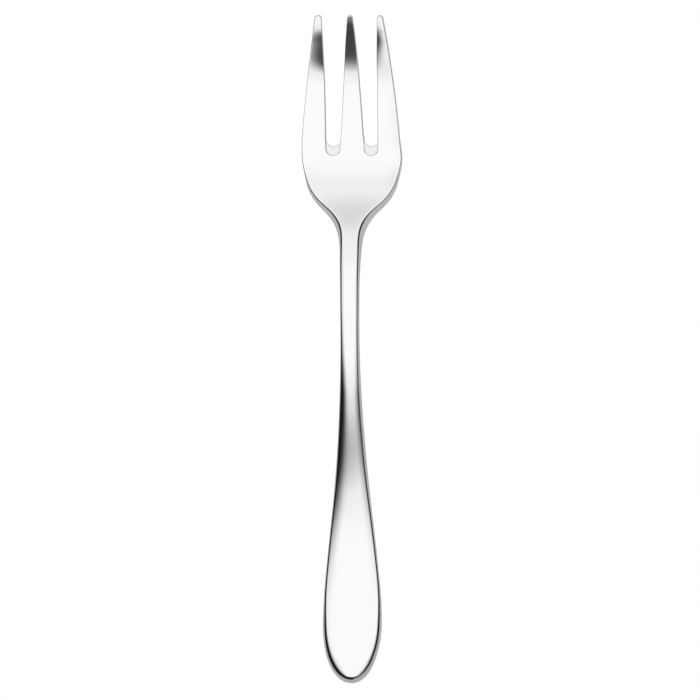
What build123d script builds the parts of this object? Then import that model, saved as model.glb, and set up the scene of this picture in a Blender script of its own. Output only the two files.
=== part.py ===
"""Oyster fork in polished steel, lying on a table with its tines curving up.

+Y runs from the handle's end to the tips, +X to the right, +Z up. The origin is at the middle of the
bounding box, on the table. All sizes are in millimetres.
"""

from build123d import *
import math
import os

# Lengths of the fork's four stretches, from the handle's end to the tips
nose_length = 13.0
taper_length = 67.3
palm_length = 38.2
tine_length = 31.5

# Widths over the outline
handle_width = 13.3
neck_width = 4.15
head_width = 22.6
tine_spread = 15.4

# Heights of the middle of the metal above its lowest stretches
nose_rise = 2.2
neck_rise = 6.9
tip_rise = 6.0

# Thicknesses of the rolled blank
nose_thickness = 2.4
handle_thickness = 2.7
neck_thickness = 3.6
palm_thickness = 2.2
tip_thickness = 0.85

# Crown of the handle's and neck's faces, and dish of the head across its width
handle_crown = 0.7
neck_crown = 0.33
back_crown_share = 0.35
head_dish = 1.0

# Rounding and lean of the polished edges
nose_edge_radius = 0.8
shank_edge_radius = 0.45
tine_edge_radius = 0.32
nose_lean_width = 0.6
shoulder_lean_width = 0.45
tip_edge_radius = 0.25

# Tines and the slots between them, with the sloping floor at each slot's root
middle_tine_root_width = 5.5
middle_tine_tip_width = 1.2
outer_tine_tip_width = 1.4
middle_tine_swell = 0.24
outer_tine_swell = 0.17
slot_root_width = 3.05
slot_root_slope_run = 2.0
slot_straight_length = 5.5
cut_overrun = 3.0

# Where the stretches begin
taper_start = nose_length
palm_start = taper_start + taper_length
tine_start = palm_start + palm_length
overall_length = tine_start + tine_length

# The head's belly and the handle rest on the same table
belly_level = (palm_thickness - handle_thickness) / 2


def knots(start, length, low, high, shares):
    """Places and values for a fair curve, from hand-chosen shares of a stretch and of a range."""
    return [(start + place * length, low + value * (high - low)) for place, value in shares]


def fair_curve(points, start_slope=None):
    """Cubic spline through the points, as a function that gives value and slope at any place."""
    places = [place for place, value in points]
    values = [value for place, value in points]
    count = len(points)
    gaps = [places[i + 1] - places[i] for i in range(count - 1)]
    rates = [(values[i + 1] - values[i]) / gaps[i] for i in range(count - 1)]
    diagonal = [1.0] * count
    upper = [0.0] * count
    right = [0.0] * count
    if start_slope is not None:
        diagonal[0] = 2 * gaps[0]
        upper[0] = gaps[0]
        right[0] = 6 * (rates[0] - start_slope)
    for i in range(1, count - 1):
        factor = gaps[i - 1] / diagonal[i - 1]
        diagonal[i] = 2 * (gaps[i - 1] + gaps[i]) - factor * upper[i - 1]
        upper[i] = gaps[i]
        right[i] = 6 * (rates[i] - rates[i - 1]) - factor * right[i - 1]
    bends = [0.0] * count
    for i in range(count - 2, -1, -1):
        bends[i] = (right[i] - upper[i] * bends[i + 1]) / diagonal[i]

    def value_and_slope(place):
        i = 0
        while i < count - 2 and place > places[i + 1]:
            i += 1
        ahead = place - places[i]
        slope = rates[i] - gaps[i] * (2 * bends[i] + bends[i + 1]) / 6
        turn = (bends[i + 1] - bends[i]) / gaps[i]
        value = values[i] + ahead * (slope + ahead * (bends[i] / 2 + ahead * turn / 6))
        return value, slope + ahead * (bends[i] + ahead * turn / 2)

    return value_and_slope


# Shares along each stretch, and of the range between the two sizes that it joins
taper_width_shares = (
    (0.0, 1.0), (0.15, 0.864), (0.283, 0.672), (0.417, 0.464), (0.55, 0.283), (0.683, 0.145),
    (0.817, 0.047), (0.93, 0.006),
)
palm_width_shares = (
    (0.0, 0.0), (0.15, 0.003), (0.30, 0.013), (0.41, 0.035), (0.50, 0.068), (0.56, 0.124),
    (0.60, 0.193), (0.64, 0.301), (0.68, 0.457), (0.71, 0.591), (0.74, 0.702), (0.77, 0.786),
    (0.80, 0.850), (0.855, 0.916), (0.915, 0.970), (0.975, 1.0),
)
tine_width_shares = (
    (0.03, 0.995), (0.10, 0.955), (0.20, 0.885), (0.37, 0.740), (0.54, 0.570), (0.71, 0.375),
    (0.88, 0.163), (1.0, 0.0),
)
nose_rise_shares = ((0.0, 1.0), (0.4, 0.52), (0.8, 0.194))
heel_rise_shares = ((0.0, 0.09), (0.084, 0.0))
taper_rise_shares = (
    (0.217, 0.025), (0.35, 0.114), (0.484, 0.267), (0.617, 0.455), (0.75, 0.658), (0.884, 0.849),
)
palm_rise_shares = (
    (0.031, 0.969), (0.207, 1.0), (0.325, 0.958), (0.442, 0.835), (0.56, 0.630), (0.678, 0.370),
    (0.796, 0.142), (0.853, 0.064), (0.914, 0.017), (0.953, 0.0),
)
tine_rise_shares = (
    (0.115, 0.026), (0.371, 0.165), (0.542, 0.323), (0.713, 0.542), (0.884, 0.802), (1.0, 1.0),
)
nose_gauge_shares = ((0.0, 0.0), (0.8, 0.9))
taper_gauge_shares = ((0.1, 0.0), (0.5, 0.25), (0.8, 0.62))
palm_gauge_shares = ((0.30, 0.0), (0.5, 0.14), (0.65, 0.55), (0.8, 0.9), (0.95, 1.0))
tine_gauge_shares = (
    (0.25, 0.12), (0.54, 0.28), (0.71, 0.36), (0.80, 0.43), (0.885, 0.55), (0.945, 0.74), (1.0, 1.0),
)
taper_crown_shares = (
    (0.0, 1.0), (0.25, 1.0), (0.4, 1.0), (0.5, 0.97), (0.585, 0.86), (0.7, 0.73), (0.8, 0.46), (0.92, 0.08),
)
palm_crown_shares = ((0.1, 0.97), (0.3, 1.05), (0.45, 0.85), (0.55, 0.4), (0.64, 0.0), (1.0, 0.0))
palm_dish_shares = ((0.0, 0.0), (0.5, 0.0), (0.64, 0.1), (0.72, 0.42), (0.81, 0.83), (0.92, 1.0))
tine_dish_shares = (
    (0.0, 1.0), (0.2, 0.95), (0.37, 0.83), (0.54, 0.62), (0.71, 0.4), (0.88, 0.23), (1.0, 0.15),
)
taper_edge_shares = ((0.0, 0.75), (0.2, 0.2), (0.4, 0.0))
palm_edge_shares = ((0.0, 0.0), (0.6, 0.0), (0.95, 0.35))
tine_edge_shares = ((0.4, 0.8), (1.0, 1.0))
nose_lean_shares = ((0.0, 1.0), (0.6, 1.0))
taper_lean_shares = (
    (0.0, 0.72), (0.08, 0.46), (0.16, 0.16), (0.24, 0.06), (0.32, 0.12), (0.4, 0.22), (0.5, 0.29),
    (0.6, 0.25), (0.7, 0.18), (0.85, 0.1),
)
palm_lean_shares = (
    (0.0, 0.1), (0.25, 0.14), (0.41, 0.38), (0.56, 0.7), (0.67, 1.0), (0.78, 1.0), (0.88, 0.45), (1.0, 0.2),
)
tine_lean_shares = ((0.4, 0.18), (1.0, 0.1))
tine_swell_place_share = 0.54

# Shares of a section: the most that its rounding and its lean take of the half width, and the
# least and most that its rounding takes of the wall
widest_reach_share = 0.92
widest_lean_share = 0.25
least_tuck_share = 0.25
longest_tuck_share = 0.45

half_width_curve = fair_curve(
    knots(taper_start, taper_length, neck_width / 2, handle_width / 2, taper_width_shares)
    + knots(palm_start, palm_length, neck_width / 2, head_width / 2, palm_width_shares)
    + knots(tine_start, tine_length, tine_spread / 2, head_width / 2, tine_width_shares),
    start_slope=0.0,
)
rise_curve = fair_curve(
    knots(0.0, nose_length, 0.0, nose_rise, nose_rise_shares)
    + knots(taper_start, taper_length, 0.0, nose_rise, heel_rise_shares)
    + knots(taper_start, taper_length, 0.0, neck_rise, taper_rise_shares)
    + knots(palm_start, palm_length, belly_level, neck_rise, palm_rise_shares)
    + knots(tine_start, tine_length, belly_level, tip_rise, tine_rise_shares)
)
thickness_curve = fair_curve(
    knots(0.0, nose_length, nose_thickness, handle_thickness, nose_gauge_shares)
    + knots(taper_start, taper_length, handle_thickness, neck_thickness, taper_gauge_shares)
    + knots(palm_start, palm_length, neck_thickness, palm_thickness, palm_gauge_shares)
    + knots(tine_start, tine_length, palm_thickness, tip_thickness, tine_gauge_shares)
)
crown_curve = fair_curve(
    [(0.0, handle_crown)]
    + knots(taper_start, taper_length, neck_crown, handle_crown, taper_crown_shares)
    + knots(palm_start, palm_length, 0.0, neck_crown, palm_crown_shares)
)
dish_curve = fair_curve(
    knots(palm_start, palm_length, 0.0, head_dish, palm_dish_shares)
    + knots(tine_start, tine_length, 0.0, head_dish, tine_dish_shares)
)
edge_curve = fair_curve(
    [(0.0, nose_edge_radius)]
    + knots(taper_start, taper_length, shank_edge_radius, nose_edge_radius, taper_edge_shares)
    + knots(palm_start, palm_length, shank_edge_radius, tine_edge_radius, palm_edge_shares)
    + knots(tine_start, tine_length, shank_edge_radius, tine_edge_radius, tine_edge_shares)
)

lean_curve = fair_curve(
    knots(0.0, nose_length, 0.0, nose_lean_width, nose_lean_shares)
    + knots(taper_start, taper_length, 0.0, nose_lean_width, taper_lean_shares)
    + knots(palm_start, palm_length, 0.0, shoulder_lean_width, palm_lean_shares)
    + knots(tine_start, tine_length, 0.0, shoulder_lean_width, tine_lean_shares)
)


def half_width_at(place):
    """Half the outline's width and its slope: half an ellipse round the nose, then the fair curve."""
    if place >= nose_length:
        return half_width_curve(place)
    back = (nose_length - place) / nose_length
    across = math.sqrt(1 - back * back)
    half = handle_width / 2
    return half * across, half * back / (across * nose_length)


def nose_drop_at(place):
    """How far the rounded edge lowers each face this close to the end of the nose."""
    if place >= nose_edge_radius:
        return 0.0
    inside = nose_edge_radius - place
    return nose_edge_radius - math.sqrt(nose_edge_radius ** 2 - inside ** 2)


def section_plane(place):
    """Plane square to the bent middle line of the metal at this place."""
    rise, slope = rise_curve(place)
    centre = (0, place - overall_length / 2, rise)
    return Plane(origin=centre, x_dir=(1, 0, 0), z_dir=(0, -1, -slope))


def face_edge(half, height, steepness):
    """Top or bottom of a section: a parabola that meets its rounded edges without a corner."""
    return Bezier((-half, height), (0, height - steepness * half), (half, height))


def rounded_corner(start, sharp, end):
    """Corner of a section in two halves, tangent to the face and to the wall."""
    pull = 4 / 3 * (math.sqrt(2) - 1)
    first = start + (sharp - start) * pull
    last = end + (sharp - end) * pull
    before = (start + first) / 2
    middle = (first + last) / 2
    after = (last + end) / 2
    crest = (before + middle + middle + after) / 4
    return [
        Bezier(start, before, (before + middle) / 2, crest),
        Bezier(crest, (middle + after) / 2, after, end),
    ]


def section(place):
    """Cross-section of the metal: crowned or dished faces, leaning walls, rounded and bevelled edges."""
    half, flare = half_width_at(place)
    thickness = thickness_curve(place)[0]
    crown = max(crown_curve(place)[0], 0.0) if place < tine_start else 0.0
    dish = max(dish_curve(place)[0], 0.0) if place > palm_start else 0.0
    radius = edge_curve(place)[0]
    drop = nose_drop_at(place)
    reach = min(radius * math.sqrt(1 + flare * flare), half * widest_reach_share)
    lean = min(lean_curve(place)[0], half * widest_lean_share)
    back_crown = crown * back_crown_share

    top_half = half - lean - reach * (1 - lean / half)
    top_steepness = 2 * (dish - crown) * top_half / half ** 2
    top_height = thickness / 2 - drop + (dish - crown) * (top_half / half) ** 2
    top_sharp = Vector(half - lean, top_height + top_steepness * (half - lean - top_half))
    low_half = half - reach
    low_steepness = 2 * (dish + back_crown) * low_half / half ** 2
    low_height = drop - thickness / 2 + (dish + back_crown) * (low_half / half) ** 2
    low_sharp = Vector(half, low_height + low_steepness * (half - low_half))

    wall = low_sharp - top_sharp
    tuck = min(max(radius - drop, radius * least_tuck_share), wall.length * longest_tuck_share)
    top_end = top_sharp + wall.normalized() * tuck
    low_end = low_sharp - wall.normalized() * tuck

    right_side = rounded_corner(Vector(top_half, top_height), top_sharp, top_end) + [
        Line(top_end, low_end),
        Line(low_end, Vector(low_half, low_height)),
    ]
    left_side = [mirror(edge, Plane.YZ) for edge in right_side]
    top = face_edge(top_half, top_height, top_steepness)
    bottom = face_edge(low_half, low_height, low_steepness)
    return section_plane(place) * make_face([top] + right_side + [bottom] + left_side)


def station_places():
    """Places of the lofted sections: close together where the form changes fast."""
    nose_turns = (8, 14, 21, 30, 42, 56, 72)
    taper_steps = 9
    palm_stations_shares = (0.0, 0.15, 0.3, 0.41, 0.5, 0.56, 0.61, 0.65, 0.69, 0.73, 0.77, 0.81, 0.86, 0.93)
    tine_stations_shares = (0.0, 0.12, 0.26, 0.4, 0.54, 0.68, 0.8, 0.88, 0.94, 1.0)
    places = [nose_length * (1 - math.cos(math.radians(turn))) for turn in nose_turns]
    places += [taper_start + taper_length * step / taper_steps for step in range(taper_steps)]
    places += [palm_start + palm_length * share for share in palm_stations_shares]
    places += [tine_start + tine_length * share for share in tine_stations_shares]
    return places


def pressed_blank():
    """The whole fork before its slots are pierced."""
    return loft([section(place) for place in station_places()])


def slot_wall(root_x, tip_x, swell, root_y, level):
    """One wall of a slot in plan: straight by the root, then following the tine's tapering edge."""
    base = tine_start - overall_length / 2
    bend = Vector(root_x, base + slot_straight_length, level)
    swell_x = root_x + tine_swell_place_share * (tip_x - root_x) + swell
    swelling = Vector(swell_x, base + tine_swell_place_share * tine_length, level)
    tip = Vector(tip_x, base + tine_length, level)
    heading = (tip - swelling).normalized()
    past_tip = tip + heading * cut_overrun
    return [
        Line((root_x, root_y, level), bend),
        Spline(bend, swelling, tip, past_tip, tangents=[Vector(0, 1, 0), heading]),
    ]


def slot_profile(level):
    """Outline of the right slot at one level: its round root moves back as the level rises."""
    root_rise = rise_curve(tine_start)[0]
    root_thickness = thickness_curve(tine_start)[0]
    below_face = root_rise + root_thickness / 2 - level
    radius = slot_root_width / 2
    end_y = tine_start - overall_length / 2 + slot_root_slope_run * below_face / root_thickness
    inner_x = middle_tine_root_width / 2
    outer_x = inner_x + slot_root_width
    tip_inner_x = middle_tine_tip_width / 2
    tip_outer_x = tine_spread / 2 - outer_tine_tip_width
    inner = slot_wall(inner_x, tip_inner_x, middle_tine_swell, end_y + radius, level)
    outer = slot_wall(outer_x, tip_outer_x, -outer_tine_swell, end_y + radius, level)
    root = ThreePointArc(inner[0] @ 0, (inner_x + radius, end_y, level), outer[0] @ 0)
    mouth = Line(inner[1] @ 1, outer[1] @ 1)
    return make_face([root, mouth] + inner + outer)


def slot_cutter():
    """Body of metal pierced out between the middle and the right tine."""
    lowest = belly_level - palm_thickness - cut_overrun
    highest = tip_rise + palm_thickness + cut_overrun
    return loft([slot_profile(lowest), slot_profile(highest)], ruled=True)


def pierced(blank):
    """The blank with both slots cut through."""
    cutter = slot_cutter()
    return (blank - cutter - mirror(cutter, Plane.YZ)).solid()


def polished(fork, blank):
    """The pierced fork with the slots' rims and the ends of the tines rounded."""
    cut_edges = new_edges(blank, combined=fork)
    two_faces = fork.faces().sort_by(SortBy.AREA)[-2:]
    tip_faces = fork.faces().sort_by(Axis.Y)[-3:]
    rims = [edge for face in two_faces for edge in face.edges() if edge in cut_edges]
    for face in tip_faces:
        rims += [edge for edge in face.edges() if edge not in rims]
    return fillet(rims, tip_edge_radius).solid()


def oyster_fork():
    """The finished fork, standing on the table with the origin at the middle of its box."""
    blank = pressed_blank()
    fork = polished(pierced(blank), blank)
    box = fork.bounding_box()
    return Pos(-box.center().X, -box.center().Y, -box.min.Z) * fork


if __name__ == "__main__":
    os.makedirs("parts", exist_ok=True)
    fork = oyster_fork()
    export_step(fork, "parts/fork.step")
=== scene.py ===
"""Oyster fork in polished steel: visual model, material, studio and camera."""
import math

import bmesh
import bpy
import numpy as np
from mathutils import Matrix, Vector


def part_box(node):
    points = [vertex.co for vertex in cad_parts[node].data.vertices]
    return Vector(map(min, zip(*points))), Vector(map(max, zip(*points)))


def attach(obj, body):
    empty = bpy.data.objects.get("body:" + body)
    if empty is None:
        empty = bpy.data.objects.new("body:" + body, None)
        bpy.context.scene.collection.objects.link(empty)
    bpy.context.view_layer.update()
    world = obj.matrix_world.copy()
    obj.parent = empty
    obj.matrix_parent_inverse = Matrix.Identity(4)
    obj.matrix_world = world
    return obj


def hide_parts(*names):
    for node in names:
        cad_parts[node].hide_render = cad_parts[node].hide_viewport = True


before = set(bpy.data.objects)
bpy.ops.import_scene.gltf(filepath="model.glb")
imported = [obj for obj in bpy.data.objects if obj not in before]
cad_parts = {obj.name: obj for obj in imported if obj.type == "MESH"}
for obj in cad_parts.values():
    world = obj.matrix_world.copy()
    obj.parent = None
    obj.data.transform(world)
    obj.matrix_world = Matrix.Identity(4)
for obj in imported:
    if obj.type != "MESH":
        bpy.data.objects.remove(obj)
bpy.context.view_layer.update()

# Lengths of the fork's four stretches, in millimetres, from the nose of the handle to the tips
NOSE = 13.0
TAPER = 67.3
PALM = 38.2
TINE = 31.5
PALM_START = NOSE + TAPER
TINE_START = PALM_START + PALM
LENGTH = TINE_START + TINE

# Widths over the outline
HANDLE_WIDTH = 13.3
NECK_WIDTH = 4.15
HEAD_WIDTH = 22.6
TINE_SPREAD = 15.4

# Heights of the middle of the metal, and thicknesses
NOSE_RISE = 2.2
NECK_RISE = 6.9
TIP_RISE = 6.0
BELLY_LEVEL = -0.25
NOSE_THICKNESS = 2.4
HANDLE_THICKNESS = 2.7
NECK_THICKNESS = 3.6
PALM_THICKNESS = 2.2
TIP_THICKNESS = 0.85

# Crown of the handle and the neck, and dish of the head
HANDLE_CROWN = 0.7
NECK_CROWN = 0.33
BACK_CROWN_SHARE = 0.35
HEAD_DISH = 1.0

# Tines and slots
SLOT_RADIUS = 1.525
SLOT_RUN = 2.0
SLOT_START = TINE_START + SLOT_RADIUS
STRAIGHT_SLOT = 5.5
MIDDLE_ROOT = 2.75
MIDDLE_TIP = 0.56
OUTER_ROOT = MIDDLE_ROOT + 2 * SLOT_RADIUS
OUTER_TIP = 6.3
OUTER_SWELL = 0.17
SWELL_SHARE = 0.54
PAST_TIP = 3.0
TIP_LENGTH = 0.55
TIP_POWER = 2 / 2.35
TINE_END = LENGTH - TIP_LENGTH

# The polished edge: rim of the slots, pulls of its curves, and how much of the wall one rounding may take
RIM_RADIUS = 0.13
CIRCLE_PULL = 0.5523
FACE_PULL = 0.5
WALL_PULL = 0.9
WALL_SHARE = 0.48
# How soon a slot's sides turn upright along the tines, and the light ramp at its root
SLOT_FADE = 1.25
RAMP_DEPTH = 0.2
RAMP_SLOPE = 0.33
RAMP_BELOW_TOP = 0.02
RAMP_ABOVE_BOTTOM = 0.05
# Path down a slot's root: how far along the ramp, how far down to it, and how far from it to the bottom
RAMP_PATH = (
    (0, 0.5, 0), (0, 0.9, 0), (0.03, 1, 0), (0.1, 1, 0), (0.5, 1, 0), (0.9, 1, 0), (0.97, 1, 0), (1, 1, 0.1),
    (1, 1, 0.5))

# Hand finish, in millimetres: where the shank's bend is hammered tighter, as place, run and lift
BEND_LIFTS = ((35.5, 26.0, 0.15), (66.0, 20.0, -0.15))
# How the tines are set: lifts and moves, and the place and run over which each comes in or goes out
LEFT_LIFT = 0.125
LEFT_LIFT_LESS_OUTSIDE = 0.025
LEFT_LIFT_IN = (134.5, 9)
LEFT_LIFT_OUT = (146, 8)
RIGHT_DROP = 0.021
RIGHT_DROP_POWER = 1.4
RIGHT_DROP_START = 137
RIGHT_DROP_EASE = 4
RIGHT_DROP_RUN = 9
MIDDLE_CURL = 0.0035
MIDDLE_CURL_START = 144.5
MIDDLE_CURL_RUN = 6
LEFT_MOVE = 0.17
LEFT_MOVE_MORE_OUTSIDE = 0.04
RIGHT_MOVE_OUTSIDE = 0.3
RIGHT_MOVE_INSIDE = 0.17
MOVE_IN = (117, 6)
RIGHT_INSIDE_MOVE_IN = (134, 6)
THINNEST_TINE = 0.5
# Where the grinding of the nose runs out, and how quickly it grows towards the edge
GRIND_END = 75
GRIND_POWER = 3

# Rows along the fork and columns across it
NOSE_ROWS = 44
SHANK_ROWS = 96
HEAD_ROWS = 92
TINE_ROWS = 64
TIP_ROWS = 9
BEND_ROWS = 24
CORNER_ROWS = 10
MIDDLE_COLUMNS = 6
SLOT_COLUMNS = 14
OUTER_COLUMNS = 12
# Where each stretch of the edge ends, in rows from the nose, up the outside and back down each tine
HEAD_END = NOSE_ROWS + SHANK_ROWS + HEAD_ROWS
OUTER_END = HEAD_END + TINE_ROWS
TIP_MIDDLE = OUTER_END + TIP_ROWS
INNER_END = TIP_MIDDLE + TIP_ROWS
SLOT_OUTSIDE = INNER_END + TINE_ROWS
SLOT_INSIDE = SLOT_OUTSIDE + SLOT_COLUMNS
MIDDLE_END = SLOT_INSIDE + TINE_ROWS
EDGE_END = MIDDLE_END + TIP_ROWS

# Sizes above are in millimetres, and the frame and Blender in metres
MM_IN_METRE = 1000
# Small numbers: for the nose's very end and slopes in millimetres, for joining the mesh in metres
NEAR_NOTHING = 1e-9
FIRST_PLACE = 0.3
SLOPE_STEP = 0.02
JOIN_DISTANCE = 4e-7
SHORTEST_EDGE = 1e-7

# Steel: polishing lines, and finger marks that dull it a little
STEEL_COLOUR = (0.94, 0.94, 0.94, 1)
LINE_STRETCH = (5200, 160, 5200)
LINE_DETAIL = 3
LINE_ROUGHNESS = 0.035
LINE_BUMP = 0.25
LINE_DEPTH = 4e-7
MARK_STRETCH = (90, 55, 90)
MARK_DETAIL = 4
MARK_EDGES = (0.48, 0.72)
MARK_ROUGHNESS = 0.03
LEAST_ROUGHNESS = 0.03

# Studio, in metres: white table and overhead softbox, with the places where it is dark and where light
TABLE_SIZE = 4.0
TABLE_PAINT = (0.9, 0.9, 0.9, 1)
TABLE_GLOW = 1.1
GLOW_SEEN = 0.88
GLOW_MIRRORED = 0.15
SOFTBOX_SIZE = 2.0
SOFTBOX_HEIGHT = 0.457
SOFTBOX_LEFT = (-0.42, -0.16)
SOFTBOX_RIGHT = (0.38, 0.1)
SOFTBOX_CORNER = (-0.6925, -0.3125)
CORNER_SLANT = 1.5
SOFTBOX_NEAR = (-0.198, -0.158)
SOFTBOX_SPILL = (-0.8, -0.3)
SPILL_SHARE = 0.052
SOFTBOX_FAR = (0.98, 0.85)
BASE_STRENGTH = 0.5
# What is added to the softbox's strength, and from where to where along it
STRENGTH_STEPS = ((0.12, (-0.175, -0.1)), (0.1, (0.28, 0.08)), (0.3, (0.75, 0.35)))
# Walls of the studio by direction, dark and light, with their strengths
HORIZON = (0.3, 0.0)
HORIZON_STRENGTH = 0.08
FAR_WALL = (0.5, 0.85)
FAR_WALL_STRENGTH = 0.62
WINDOW = (0.9, 1.2)
WINDOW_STRENGTH = 0.32
DARK_WALL = 0.01
WHITE = (1, 1, 1, 1)

# Camera, in metres: the photo was taken square-on, from a little to the right
VIEW_SIZE = 0.15714
VIEW_DISTANCE = 0.6
VIEW_END = 10
ROLL = math.radians(5.2)
AIM = Vector((-0.00063, -0.00022, 0.0))


def smooth(value):
    """Soft step from 0 to 1."""
    value = np.clip(value, 0, 1)
    return value * value * (3 - 2 * value)


def eased(place, ends):
    """Soft step that starts at a place and takes a run."""
    start, run = ends
    return smooth((place - start) / run)


def fair_curve(points, start_slope=None):
    """Natural cubic spline through the points: gives value and slope at an array of places."""
    places, values = np.array(points, float).T
    gaps = np.diff(places)
    rates = np.diff(values) / gaps
    count = len(places)
    matrix = np.eye(count)
    right = np.zeros(count)
    if start_slope is not None:
        matrix[0, :2] = (2 * gaps[0], gaps[0])
        right[0] = 6 * (rates[0] - start_slope)
    for i in range(1, count - 1):
        matrix[i, i - 1:i + 2] = (gaps[i - 1], 2 * (gaps[i - 1] + gaps[i]), gaps[i])
        right[i] = 6 * (rates[i] - rates[i - 1])
    bends = np.linalg.solve(matrix, right)

    def value_and_slope(place):
        place = np.asarray(place, float)
        i = np.clip(np.searchsorted(places, place) - 1, 0, count - 2)
        ahead = place - places[i]
        slope = rates[i] - gaps[i] * (2 * bends[i] + bends[i + 1]) / 6
        turn = (bends[i + 1] - bends[i]) / gaps[i]
        value = values[i] + ahead * (slope + ahead * (bends[i] / 2 + ahead * turn / 6))
        return value, slope + ahead * (bends[i] + ahead * turn / 2)

    return value_and_slope


def knots(start, length, low, high, shares):
    """Places and values from shares of a stretch and of a range."""
    return [(start + place * length, low + value * (high - low)) for place, value in shares]


outline_law = fair_curve(
    knots(NOSE, TAPER, NECK_WIDTH / 2, HANDLE_WIDTH / 2, (
        (0.0, 1.0), (0.15, 0.864), (0.283, 0.672), (0.417, 0.464), (0.55, 0.283), (0.683, 0.145),
        (0.817, 0.047), (0.93, 0.006)))
    + knots(PALM_START, PALM, NECK_WIDTH / 2, HEAD_WIDTH / 2, (
        (0.0, 0.0), (0.15, 0.003), (0.30, 0.013), (0.41, 0.035), (0.50, 0.068), (0.56, 0.124),
        (0.60, 0.193), (0.64, 0.301), (0.68, 0.457), (0.71, 0.591), (0.74, 0.702), (0.77, 0.786),
        (0.80, 0.850), (0.855, 0.916), (0.915, 0.970), (0.975, 1.0)))
    + knots(TINE_START, TINE, TINE_SPREAD / 2, HEAD_WIDTH / 2, (
        (0.03, 0.995), (0.10, 0.955), (0.20, 0.885), (0.37, 0.740), (0.54, 0.570), (0.71, 0.375),
        (0.88, 0.163), (1.0, 0.0))),
    start_slope=0.0)
pressed_rise_law = fair_curve(
    knots(0, NOSE, 0, NOSE_RISE, ((0.0, 1.0), (0.4, 0.52), (0.8, 0.194)))
    + knots(NOSE, TAPER, 0, NOSE_RISE, ((0.0, 0.09), (0.084, 0.0)))
    + knots(NOSE, TAPER, 0, NECK_RISE, (
        (0.217, 0.025), (0.35, 0.114), (0.484, 0.267), (0.617, 0.455), (0.75, 0.658), (0.884, 0.849)))
    + knots(PALM_START, PALM, BELLY_LEVEL, NECK_RISE, (
        (0.031, 0.969), (0.207, 1.0), (0.325, 0.958), (0.442, 0.835), (0.56, 0.630), (0.678, 0.370),
        (0.796, 0.142), (0.853, 0.064), (0.914, 0.017), (0.953, 0.0)))
    + knots(TINE_START, TINE, BELLY_LEVEL, TIP_RISE, (
        (0.115, 0.026), (0.371, 0.165), (0.542, 0.323), (0.713, 0.542), (0.884, 0.802), (1.0, 1.0))))
thickness_law = fair_curve(
    knots(0, NOSE, NOSE_THICKNESS, HANDLE_THICKNESS, ((0.0, 0.0), (0.8, 0.9)))
    + knots(NOSE, TAPER, HANDLE_THICKNESS, NECK_THICKNESS, ((0.1, 0.0), (0.5, 0.25), (0.8, 0.62)))
    + knots(PALM_START, PALM, NECK_THICKNESS, PALM_THICKNESS, (
        (0.30, 0.0), (0.5, 0.14), (0.65, 0.55), (0.8, 0.9), (0.95, 1.0)))
    + knots(TINE_START, TINE, PALM_THICKNESS, TIP_THICKNESS, (
        (0.25, 0.12), (0.54, 0.28), (0.71, 0.36), (0.80, 0.43), (0.885, 0.55), (0.945, 0.74), (1.0, 1.0))))
crown_law = fair_curve(
    [(0.0, HANDLE_CROWN)]
    + knots(NOSE, TAPER, NECK_CROWN, HANDLE_CROWN, (
        (0.0, 1.0), (0.25, 1.0), (0.4, 1.0), (0.5, 0.97), (0.585, 0.86), (0.7, 0.73), (0.8, 0.46),
        (0.92, 0.08)))
    + knots(PALM_START, PALM, 0.0, NECK_CROWN, (
        (0.1, 0.97), (0.3, 1.05), (0.45, 0.85), (0.55, 0.4), (0.64, 0.0), (1.0, 0.0))))
dish_law = fair_curve(
    knots(PALM_START, PALM, 0, HEAD_DISH, (
        (0.0, 0.0), (0.5, 0.0), (0.64, 0.1), (0.72, 0.42), (0.81, 0.83), (0.92, 1.0)))
    + knots(TINE_START, TINE, 0, HEAD_DISH, (
        (0.0, 1.0), (0.2, 0.95), (0.37, 0.83), (0.54, 0.62), (0.71, 0.4), (0.88, 0.23), (1.0, 0.15))))

# How far the edge's wall leans out, and how far each rounding reaches over face and wall, along the fork
lean_law = fair_curve([
    (0, 0.8), (3, 0.7), (8, 0.56), (14, 0.44), (17, 0.28), (21, 0.08), (26, 0.02), (34, 0.06), (40, 0.11),
    (46, 0.16), (53, 0.15), (60, 0.11), (70, 0.06), (80, 0.04), (90, 0.06), (95, 0.16), (99, 0.42),
    (102, 0.66), (104.5, 0.54), (107, 0.4), (110, 0.35), (114, 0.2), (118, 0.08), (130, 0.04), (150, 0.03)])
face_reach_law = fair_curve([
    (0, 1.4), (4, 1.25), (8, 0.98), (13, 0.74), (18, 0.62), (28, 0.52), (40, 0.52), (66, 0.5), (80, 0.45),
    (92, 0.47), (98, 0.68), (101.5, 0.8), (105, 0.62), (109, 0.55), (113, 0.48), (118, 0.38), (130, 0.34),
    (142, 0.28), (150, 0.22)])
wall_reach_law = fair_curve([
    (0, 0.7), (4, 0.6), (8, 0.57), (13, 0.58), (18, 0.6), (50, 0.56), (80, 0.54), (92, 0.52), (104, 0.6),
    (111, 0.45), (118, 0.28), (150, 0.2)])
low_reach_law = fair_curve([(0, 0.8), (20, 0.6), (80, 0.48), (104, 0.4), (118, 0.3), (150, 0.22)])

# Sides of the slots, narrowing the tines to their tips
middle_wall_law = fair_curve([
    (SLOT_START, MIDDLE_ROOT), (SLOT_START + 1.8, 2.66), (SLOT_START + 3.7, 2.48), (SLOT_START + 6.3, 2.31),
    (SLOT_START + 10, 2.08), (SLOT_START + 14.5, 1.8), (SLOT_START + 19.9, 1.45), (SLOT_START + 25.2, 1.04),
    (LENGTH, MIDDLE_TIP), (LENGTH + PAST_TIP, 0.25)], start_slope=0.0)
outer_wall_law = fair_curve([
    (TINE_START + STRAIGHT_SLOT, OUTER_ROOT),
    (TINE_START + SWELL_SHARE * TINE, OUTER_ROOT + SWELL_SHARE * (OUTER_TIP - OUTER_ROOT) - OUTER_SWELL),
    (LENGTH, OUTER_TIP), (LENGTH + PAST_TIP, 6.41)], start_slope=0.0)

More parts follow.
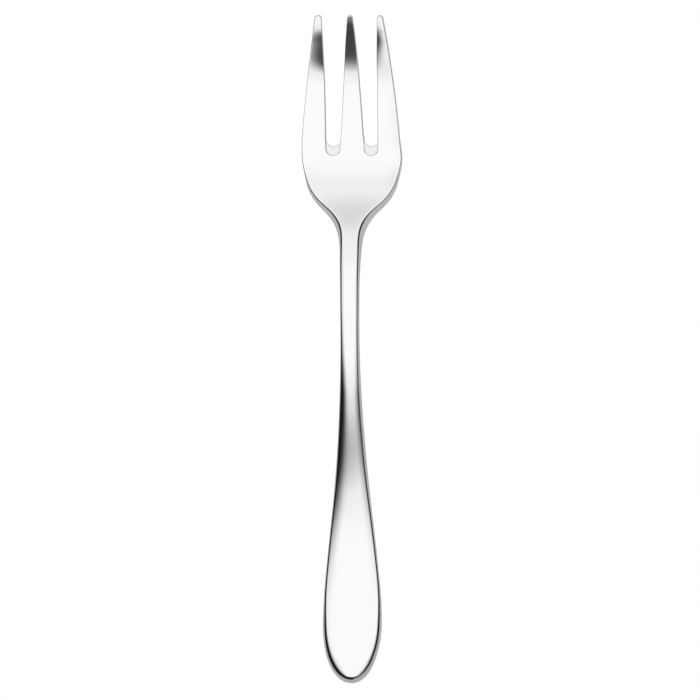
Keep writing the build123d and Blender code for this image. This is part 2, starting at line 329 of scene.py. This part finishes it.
# How much fuller the nose is ground, on its left and on its right
left_grind_law = fair_curve([
    (0, 0.4), (1.2, 0.46), (3, 0.47), (5.5, 0.4), (9, 0.28), (14, 0.2), (22, 0.13), (40, 0.09), (60, 0.06),
    (GRIND_END, 0)])
right_grind_law = fair_curve([
    (0, 0.2), (1.2, 0.2), (3, 0.13), (5.5, 0.03), (9, 0.04), (14, 0.12), (22, 0.11), (40, 0.05), (60, 0.03),
    (GRIND_END, 0)])


# The fork's shape
def rise_law(place):
    """Height of the metal's middle line, with the shank's bend hammered a little tighter, and its slope."""
    value, slope = pressed_rise_law(place)
    for start, run, lift in BEND_LIFTS:
        step = np.clip((np.asarray(place, float) - start) / run, 0, 1)
        value = value + lift * smooth(step)
        slope = slope + lift * 6 * step * (1 - step) / run
    return value, slope


def half_width(place):
    """Half the outline's width: half an ellipse round the nose, then the fair curve."""
    place = np.asarray(place, float)
    back = np.clip((NOSE - place) / NOSE, 0, 1)
    nose = HANDLE_WIDTH / 2 * np.sqrt(np.clip(1 - back * back, NEAR_NOTHING, 1))
    return np.where(place < NOSE, nose, outline_law(place)[0])


def middle_wall(place):
    """Half width of the middle tine."""
    return np.where(place < SLOT_START, MIDDLE_ROOT, middle_wall_law(np.maximum(place, SLOT_START))[0])


def outer_wall(place):
    """Inner side of the outer tine."""
    start = TINE_START + STRAIGHT_SLOT
    return np.where(place < start, OUTER_ROOT, outer_wall_law(np.maximum(place, start))[0])


def face_point(side, x, place):
    """Point on the top (side 1) or bottom (side -1) face above a point of the plan."""
    x, place = np.broadcast_arrays(np.asarray(x, float), np.asarray(place, float))
    share = x / half_width(np.maximum(place, FIRST_PLACE))
    crown = np.where(place < TINE_START, np.maximum(crown_law(place)[0], 0), 0)
    dish = np.where(place > PALM_START, np.maximum(dish_law(place)[0], 0), 0)
    bow = dish - crown * (1 if side > 0 else -BACK_CROWN_SHARE)
    height = side * thickness_law(place)[0] / 2 + bow * share ** 2
    rise, slope = rise_law(place)
    square = np.sqrt(1 + slope ** 2)
    return np.stack([x, place - LENGTH / 2 - height * slope / square, rise + height / square], axis=-1)


def face_tangent(side, x, place, inward):
    """Direction along a face towards the inside of the plan, per millimetre of plan."""
    ahead = face_point(side, x + inward[..., 0] * SLOPE_STEP, place + inward[..., 1] * SLOPE_STEP)
    behind = face_point(side, x - inward[..., 0] * SLOPE_STEP, place - inward[..., 1] * SLOPE_STEP)
    return (ahead - behind) / (2 * SLOPE_STEP)


def column(value):
    """Row of numbers turned into a column."""
    return np.asarray(value)[:, None]


def corner(start, sharp, end, start_pull, end_pull):
    """Rounded corner between two directions, as rows of points."""
    t = np.linspace(0, 1, CORNER_ROWS + 1)[:, None, None]
    one = start + (sharp - start) * start_pull
    two = end + (sharp - end) * end_pull
    return (1 - t) ** 3 * start + 3 * (1 - t) ** 2 * t * one + 3 * (1 - t) * t ** 2 * two + t ** 3 * end


def face_start(side, plan, inward, reach):
    """Where a rounding starts on a face, and the sharp corner that it rounds off."""
    start = face_point(side, plan[:, 0], plan[:, 1])
    return start, start - face_tangent(side, plan[:, 0], plan[:, 1], inward) * column(reach)


def slot_floor(end, low_end):
    """Rows down a slot's root: a step down to the light ramp, along it, and a step down to the bottom."""
    root_level = face_point(1, np.array(MIDDLE_ROOT + SLOT_RADIUS), np.array(TINE_START))[2] - RAMP_DEPTH
    rows = []
    for move, first, last in RAMP_PATH:
        row = end + (low_end - end) * move
        level = root_level - RAMP_SLOPE * (row[:, 1] + LENGTH / 2 - TINE_START)
        level = np.clip(level, low_end[:, 2] + RAMP_ABOVE_BOTTOM, end[:, 2] - RAMP_BELOW_TOP)
        row[:, 2] = end[:, 2] + (level - end[:, 2]) * first + (low_end[:, 2] - level) * last
        rows.append(row)
    return rows


def plan_directions(points, first, last):
    """Unit normals of a plan curve, on its left, and its directions of travel, given at both ends."""
    step = np.diff(points, axis=0)
    length = np.linalg.norm(step, axis=1)[:, None]
    along = np.empty_like(points)
    along[1:-1] = step[1:] / length[1:] * length[:-1] + step[:-1] / length[:-1] * length[1:]
    along[0], along[-1] = first, last
    along /= np.linalg.norm(along, axis=1)[:, None]
    return np.stack([-along[:, 1], along[:, 0]], axis=-1), along


def slot_shift():
    """Places along a tine, and how much further the slot's lower edge lies there."""
    tine = np.linspace(SLOT_START, TINE_END, TINE_ROWS + 1)
    return tine, SLOT_RUN * (1 - smooth((tine - SLOT_START) / (TINE_END - SLOT_START) * SLOT_FADE))


def outside_edge():
    """Plan of the right outline, from the middle of the nose to the outer tine's end."""
    turn = np.linspace(0, math.pi / 2, NOSE_ROWS + 1)
    nose = np.stack([HANDLE_WIDTH / 2 * np.sin(turn), NOSE * (1 - np.cos(turn))], axis=-1)
    sides = np.concatenate([
        np.linspace(NOSE, PALM_START, SHANK_ROWS + 1)[1:],
        np.linspace(PALM_START, SLOT_START, HEAD_ROWS + 1)[1:],
        np.linspace(SLOT_START, TINE_END, TINE_ROWS + 1)[1:]])
    return np.concatenate([nose, np.stack([half_width(sides), sides], axis=-1)])


def tip_caps():
    """Plans of the rounded tips: outer tine's outer and inner half, and middle tine's right half."""
    turn = np.linspace(0, math.pi / 2, TIP_ROWS + 1)
    across = np.cos(turn) ** TIP_POWER
    across[-1] = 0
    place = TINE_END + TIP_LENGTH * np.sin(turn) ** TIP_POWER
    centre = (outer_wall(place) + half_width(place)) / 2
    half = (half_width(place) - outer_wall(place)) / 2
    return [np.stack([x, place], axis=-1) for x in (
        centre + half * across, centre - half * across, middle_wall(place) * across)]


def edge_plan(tine, move):
    """Plan of the whole right edge, with the slot's sides and root moved ahead."""
    outer_cap, inner_cap, middle_cap = tip_caps()
    inner = np.stack([outer_wall(tine + move), tine + move], axis=-1)
    middle = np.stack([middle_wall(tine + move), tine + move], axis=-1)
    sweep = np.linspace(math.pi, 0, SLOT_COLUMNS + 1)
    across = (1 - np.cos(sweep)) / 2
    root = np.stack([
        middle[0, 0] + across * (inner[0, 0] - middle[0, 0]),
        SLOT_START - SLOT_RADIUS * np.sin(sweep) + move[0]], axis=-1)
    return np.concatenate([
        outside_edge(), outer_cap[1:], inner_cap[::-1][1:], inner[::-1][1:-1], root, middle[1:],
        middle_cap[1:]])


def slot_shares(move):
    """How much of the slot root's ramp each row of the edge has."""
    shares = np.zeros(EDGE_END + 1)
    shares[INNER_END:SLOT_OUTSIDE] = move[::-1][:-1] / SLOT_RUN
    shares[SLOT_OUTSIDE:SLOT_INSIDE + 1] = 1
    shares[SLOT_INSIDE:MIDDLE_END + 1] = move / SLOT_RUN
    return shares


def polished_edge():
    """Rounded edge from the top face over the wall to the bottom face, and where it starts on each face."""
    tine, move = slot_shift()
    top, low = edge_plan(tine, move * 0), edge_plan(tine, move)
    top_inward, along = plan_directions(top, (1, 0), (-1, 0))
    low_inward = plan_directions(low, (1, 0), (-1, 0))[0]
    # The outline's own edge turns into the slots' finer rim round the end of the outer tine
    rim = smooth((np.arange(EDGE_END + 1) - OUTER_END) / (INNER_END - OUTER_END))
    place = np.clip(top[:, 1], 0, LENGTH)
    lean = lean_law(place)[0] * (1 - rim)
    reach_laws = (face_reach_law, wall_reach_law, low_reach_law)
    face_reach, wall_reach, low_reach = (law(place)[0] * (1 - rim) + RIM_RADIUS * rim for law in reach_laws)
    travel = np.stack([along[:, 0], along[:, 1], along[:, 1] * rise_law(place)[1]], axis=-1)
    travel /= np.linalg.norm(travel, axis=1)[:, None]

    top_plan = top + top_inward * column(lean + face_reach)
    low_plan = low + low_inward * column(low_reach)
    start, sharp = face_start(1, top_plan, top_inward, face_reach)
    low_start, low_sharp = face_start(-1, low_plan, low_inward, low_reach)
    wall = low_sharp - sharp
    square = np.linalg.norm(wall - travel * np.sum(wall * travel, axis=1)[:, None], axis=1)
    slot = column(slot_shares(move))
    wall += (np.array([0, 0, -1]) * column(square) - wall) * slot
    end = sharp + wall * column(np.minimum(wall_reach, WALL_SHARE * square) / square)
    low_end = low_sharp - wall * column(np.minimum(low_reach, WALL_SHARE * square) / square)

    face_pull = column(FACE_PULL * (1 - rim) + CIRCLE_PULL * rim)
    wall_pull = column(WALL_PULL * (1 - rim) + CIRCLE_PULL * rim)
    rows = list(corner(start, sharp, end, face_pull, wall_pull))
    for number, floor in enumerate(slot_floor(end, low_end), 1):
        straight = end + (low_end - end) * number / (len(RAMP_PATH) + 1)
        rows.append(straight + (floor - straight) * slot)
    rows += list(corner(low_end, low_sharp, low_start, CIRCLE_PULL, CIRCLE_PULL))
    return np.array(rows), top_plan, low_plan


def steps_between(first, last, steps):
    """Evenly spaced points from one to another."""
    return first + (last - first) * np.linspace(0, 1, steps + 1)[:, None]


def faces_inside(side, start):
    """The three sheets of a face inside its edge: shank and head, outer tine, and middle tine."""
    middle_root = start[SLOT_INSIDE]
    centre_root = np.array([0, middle_root[1]])
    root = np.concatenate([
        steps_between(centre_root, middle_root, MIDDLE_COLUMNS),
        start[SLOT_OUTSIDE:SLOT_INSIDE + 1][::-1][1:],
        steps_between(start[SLOT_OUTSIDE], start[HEAD_END], OUTER_COLUMNS)[1:]])
    near = smooth((np.arange(HEAD_END + 1) - (HEAD_END - BEND_ROWS)) / BEND_ROWS)
    x = start[:HEAD_END + 1, 0][:, None] * (root[:, 0] / start[HEAD_END, 0])
    place = start[:HEAD_END + 1, 1][:, None] + near[:, None] * (root[:, 1] - start[HEAD_END, 1])
    head = face_point(side, x, place)

    outer = start[HEAD_END:TIP_MIDDLE + 1]
    inner = start[TIP_MIDDLE:SLOT_OUTSIDE + 1][::-1]
    share = np.linspace(0, 1, OUTER_COLUMNS + 1)[None, :, None]
    plan = inner[:, None] * (1 - share) + outer[:, None] * share
    outer_tine = face_point(side, plan[..., 0], plan[..., 1])

    edge = start[SLOT_INSIDE:EDGE_END + 1]
    share = np.linspace(0, 1, MIDDLE_COLUMNS + 1)
    middle_tine = face_point(side, edge[:, 0][:, None] * share, edge[:, 1][:, None] + 0 * share)
    return [head, outer_tine, middle_tine]


def set_tines(points):
    """Set the tines as by hand: left one bent earlier, right one's outside let down, middle tip curled up."""
    place = points[:, 1] + LENGTH / 2
    left = points[:, 0] < 0
    reach = np.abs(points[:, 0])
    wall = outer_wall(place)
    width = np.maximum(half_width(np.clip(place, TINE_START, LENGTH)) - wall, THINNEST_TINE)
    share = np.clip((reach - wall) / width, 0, 1)
    outside = smooth((reach - middle_wall(place)) / (wall - middle_wall(place)))
    left_lift = LEFT_LIFT - LEFT_LIFT_LESS_OUTSIDE * share
    left_lift = left_lift * (eased(place, LEFT_LIFT_IN) - eased(place, LEFT_LIFT_OUT))
    ahead = np.clip(place - RIGHT_DROP_START, 0, RIGHT_DROP_RUN)
    run = np.where(ahead < RIGHT_DROP_EASE, ahead ** 2 / (2 * RIGHT_DROP_EASE), ahead - RIGHT_DROP_EASE / 2)
    right_lift = -RIGHT_DROP * share ** RIGHT_DROP_POWER * run
    curl = MIDDLE_CURL * np.clip(place - MIDDLE_CURL_START, 0, MIDDLE_CURL_RUN) ** 2
    lift = outside * np.where(left, left_lift, right_lift) + (1 - outside) * curl
    points[:, 2] += np.where(place > TINE_START, lift, 0)
    move_in = eased(place, MOVE_IN)
    left_move = (LEFT_MOVE + LEFT_MOVE_MORE_OUTSIDE * share) * move_in
    right_move = RIGHT_MOVE_OUTSIDE * share * move_in
    right_move = right_move + RIGHT_MOVE_INSIDE * (1 - share) * eased(place, RIGHT_INSIDE_MOVE_IN)
    points[:, 0] -= outside * np.where(left, left_move, right_move)
    return points


def grind_nose(points):
    """Grind the nose as by hand: a little fuller than half an ellipse, the more so on its left."""
    place = points[:, 1] + LENGTH / 2
    share = np.clip(np.abs(points[:, 0]) / half_width(np.clip(place, FIRST_PLACE, LENGTH)), 0, 1)
    grind = np.where(points[:, 0] < 0, -left_grind_law(place)[0], right_grind_law(place)[0])
    points[:, 0] += np.where(place < GRIND_END, grind * share ** GRIND_POWER, 0)
    return points


def fit_to_frame(points):
    """Seat the points on the floor of the fork's box in the frame, and keep them inside it."""
    low, high = points.min(axis=0), points.max(axis=0)
    goal = np.array(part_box("fork")) * MM_IN_METRE
    scale = np.minimum((goal[1] - goal[0]) / (high - low), 1.0)
    points = (points - (low + high) / 2) * scale + (goal[0] + goal[1]) / 2
    points[:, 2] += goal[0][2] - points[:, 2].min()
    return points


def fork_mesh():
    """The whole fork as one closed, smooth mesh in metres."""
    edge, top_plan, low_plan = polished_edge()
    points, faces = [], []
    for sheet in [edge] + faces_inside(1, top_plan) + faces_inside(-1, low_plan):
        for hand in (1, -1):
            rows, columns = sheet.shape[:2]
            start = len(points)
            points.extend((sheet * np.array([hand, 1, 1])).reshape(-1, 3))
            for i in range(rows - 1):
                for j in range(columns - 1):
                    a = start + i * columns + j
                    faces.append((a, a + 1, a + columns + 1, a + columns))
    points = fit_to_frame(grind_nose(set_tines(np.array(points))))
    mesh = bpy.data.meshes.new("polished_fork")
    mesh.from_pydata((points / MM_IN_METRE).tolist(), [], faces)
    body = bmesh.new()
    body.from_mesh(mesh)
    bmesh.ops.remove_doubles(body, verts=body.verts, dist=JOIN_DISTANCE)
    bmesh.ops.dissolve_degenerate(body, edges=body.edges, dist=SHORTEST_EDGE)
    bmesh.ops.recalc_face_normals(body, faces=body.faces)
    for face in body.faces:
        face.smooth = True
    body.to_mesh(mesh)
    body.free()
    return mesh


# Materials and studio
def link(tree, *pairs):
    """Join sockets, given as pairs of output and input."""
    for output, target in pairs:
        tree.links.new(output, target)


def fade(tree, value, dark, light):
    """Soft step of a value from 0 at dark to 1 at light."""
    step = tree.nodes.new("ShaderNodeMapRange")
    step.interpolation_type = "SMOOTHSTEP"
    step.inputs["From Min"].default_value = dark
    step.inputs["From Max"].default_value = light
    link(tree, (value, step.inputs["Value"]))
    return step.outputs["Result"]


def arithmetic(tree, operation, first, *others):
    """Result of a sum carried along two or more sockets or numbers."""
    for other in others:
        node = tree.nodes.new("ShaderNodeMath")
        node.operation = operation
        for socket, value in zip(node.inputs, (first, other)):
            if isinstance(value, (int, float)):
                socket.default_value = value
            else:
                link(tree, (value, socket))
        first = node.outputs[0]
    return first


def new_material(name):
    """Empty material, with its tree and its surface socket."""
    material = bpy.data.materials.new(name)
    material.use_nodes = True
    tree = material.node_tree
    tree.nodes.clear()
    return material, tree, tree.nodes.new("ShaderNodeOutputMaterial").inputs["Surface"]


def fine_noise(tree, place, stretch, detail):
    """Noise from 0 to 1, stretched along each axis."""
    mapping = tree.nodes.new("ShaderNodeMapping")
    mapping.inputs["Scale"].default_value = stretch
    noise = tree.nodes.new("ShaderNodeTexNoise")
    noise.inputs["Scale"].default_value = 1.0
    noise.inputs["Detail"].default_value = detail
    link(tree, (place, mapping.inputs["Vector"]), (mapping.outputs["Vector"], noise.inputs["Vector"]))
    return noise.outputs["Fac"]


def polished_steel():
    """Mirror-polished stainless steel, with faint lengthwise polishing lines and duller finger marks."""
    material, tree, surface = new_material("polished_steel")
    shader = tree.nodes.new("ShaderNodeBsdfPrincipled")
    shader.inputs["Base Color"].default_value = STEEL_COLOUR
    shader.inputs["Metallic"].default_value = 1.0
    place = tree.nodes.new("ShaderNodeTexCoord").outputs["Object"]
    lines = fine_noise(tree, place, LINE_STRETCH, LINE_DETAIL)
    marks = fade(tree, fine_noise(tree, place, MARK_STRETCH, MARK_DETAIL), *MARK_EDGES)
    grain = arithmetic(tree, "MULTIPLY", lines, LINE_ROUGHNESS)
    dull = arithmetic(tree, "MULTIPLY", marks, MARK_ROUGHNESS)
    polish = arithmetic(tree, "ADD", grain, dull, LEAST_ROUGHNESS)
    relief = tree.nodes.new("ShaderNodeBump")
    relief.inputs["Strength"].default_value = LINE_BUMP
    relief.inputs["Distance"].default_value = LINE_DEPTH
    link(tree, (polish, shader.inputs["Roughness"]), (lines, relief.inputs["Height"]),
         (relief.outputs["Normal"], shader.inputs["Normal"]), (shader.outputs["BSDF"], surface))
    return material


def backdrop_share(tree, straight, mirrored):
    """How much of the white backdrop shows: straight to the camera or through glass, and in the metal."""
    path = tree.nodes.new("ShaderNodeLightPath")
    clear = arithmetic(tree, "MAXIMUM", path.outputs["Is Camera Ray"], path.outputs["Is Transmission Ray"])
    metal = arithmetic(tree, "MULTIPLY", path.outputs["Is Glossy Ray"], mirrored)
    return arithmetic(tree, "MAXIMUM", arithmetic(tree, "MULTIPLY", clear, straight), metal)


def white_table():
    """Plain white table, which keeps the fork's shadow."""
    material, tree, surface = new_material("white_table")
    paint = tree.nodes.new("ShaderNodeBsdfDiffuse")
    paint.inputs["Color"].default_value = TABLE_PAINT
    glow = tree.nodes.new("ShaderNodeEmission")
    glow.inputs["Strength"].default_value = TABLE_GLOW
    mixer = tree.nodes.new("ShaderNodeMixShader")
    link(tree, (backdrop_share(tree, GLOW_SEEN, GLOW_MIRRORED), mixer.inputs["Fac"]),
         (paint.outputs[0], mixer.inputs[1]), (glow.outputs[0], mixer.inputs[2]), (mixer.outputs[0], surface))
    return material


def axes_of(tree, output):
    """X, Y and Z of a place or direction."""
    axes = tree.nodes.new("ShaderNodeSeparateXYZ")
    link(tree, (tree.nodes.new("ShaderNodeTexCoord").outputs[output], axes.inputs[0]))
    return axes.outputs["X"], axes.outputs["Y"], axes.outputs["Z"]


def overhead_diffuser():
    """Wide overhead diffuser that fades out at its edges and in one corner, with strength in soft steps."""
    material, tree, surface = new_material("softbox")
    x, y, _ = axes_of(tree, "Object")
    slant = arithmetic(tree, "ADD", x, arithmetic(tree, "MULTIPLY", y, CORNER_SLANT))
    spill = arithmetic(tree, "MULTIPLY", fade(tree, y, *SOFTBOX_SPILL), SPILL_SHARE)
    mask = arithmetic(
        tree, "MULTIPLY", arithmetic(tree, "MAXIMUM", fade(tree, y, *SOFTBOX_NEAR), spill),
        fade(tree, y, *SOFTBOX_FAR), fade(tree, slant, *SOFTBOX_CORNER), fade(tree, x, *SOFTBOX_LEFT),
        fade(tree, x, *SOFTBOX_RIGHT))
    steps = [arithmetic(tree, "MULTIPLY", fade(tree, y, *ends), share) for share, ends in STRENGTH_STEPS]
    glow = tree.nodes.new("ShaderNodeEmission")
    clear = tree.nodes.new("ShaderNodeBsdfTransparent")
    mixer = tree.nodes.new("ShaderNodeMixShader")
    link(tree, (arithmetic(tree, "ADD", BASE_STRENGTH, *steps), glow.inputs["Strength"]),
         (mask, mixer.inputs["Fac"]), (clear.outputs[0], mixer.inputs[1]), (glow.outputs[0], mixer.inputs[2]),
         (mixer.outputs[0], surface))
    return material


def studio_world():
    """White to the camera; for the metal, a light far wall, a window at the near right and dark walls."""
    world = bpy.data.worlds.new("studio")
    world.use_nodes = True
    tree = world.node_tree
    background = tree.nodes["Background"]
    background.inputs["Color"].default_value = WHITE
    x, y, z = axes_of(tree, "Generated")
    horizon = arithmetic(tree, "MULTIPLY", fade(tree, z, *HORIZON), HORIZON_STRENGTH)
    far_wall = arithmetic(tree, "MULTIPLY", fade(tree, y, *FAR_WALL), FAR_WALL_STRENGTH)
    slant = arithmetic(tree, "SUBTRACT", x, y)
    window = arithmetic(tree, "MULTIPLY", fade(tree, slant, *WINDOW), WINDOW_STRENGTH)
    walls = arithmetic(tree, "ADD", arithmetic(tree, "MAXIMUM", horizon, far_wall, window), DARK_WALL)
    path = tree.nodes.new("ShaderNodeLightPath")
    strength = arithmetic(tree, "MAXIMUM", walls, path.outputs["Is Camera Ray"])
    link(tree, (strength, background.inputs["Strength"]))
    return world


def stage_plane(name, size, place, material):
    """Square plane of the studio, level with the table."""
    bpy.ops.mesh.primitive_plane_add(size=size, location=place)
    plane = bpy.context.object
    plane.name = name
    plane.data.materials.append(material)
    return plane


def photo_camera():
    """Camera at the photo's viewing angle, seeing as much as the photo does."""
    lens = bpy.data.cameras.new("camera")
    lens.type = "ORTHO"
    lens.ortho_scale = VIEW_SIZE
    lens.clip_end = VIEW_END
    camera = bpy.data.objects.new("camera", lens)
    bpy.context.collection.objects.link(camera)
    camera.rotation_euler = (0, ROLL, 0)
    camera.location = AIM + VIEW_DISTANCE * Vector((math.sin(ROLL), 0, math.cos(ROLL)))
    return camera


# The whole scene
fork = bpy.data.objects.new("polished_fork", fork_mesh())
bpy.context.collection.objects.link(fork)
fork.data.materials.append(polished_steel())
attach(fork, "root")
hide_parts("fork")

stage_plane("table", TABLE_SIZE, (0, 0, 0), white_table())
softbox = stage_plane("softbox", SOFTBOX_SIZE, (0, 0, SOFTBOX_HEIGHT), overhead_diffuser())
softbox.visible_camera = False
bpy.context.scene.world = studio_world()
bpy.context.scene.camera = photo_camera()
bpy.context.scene.view_settings.view_transform = "Standard"
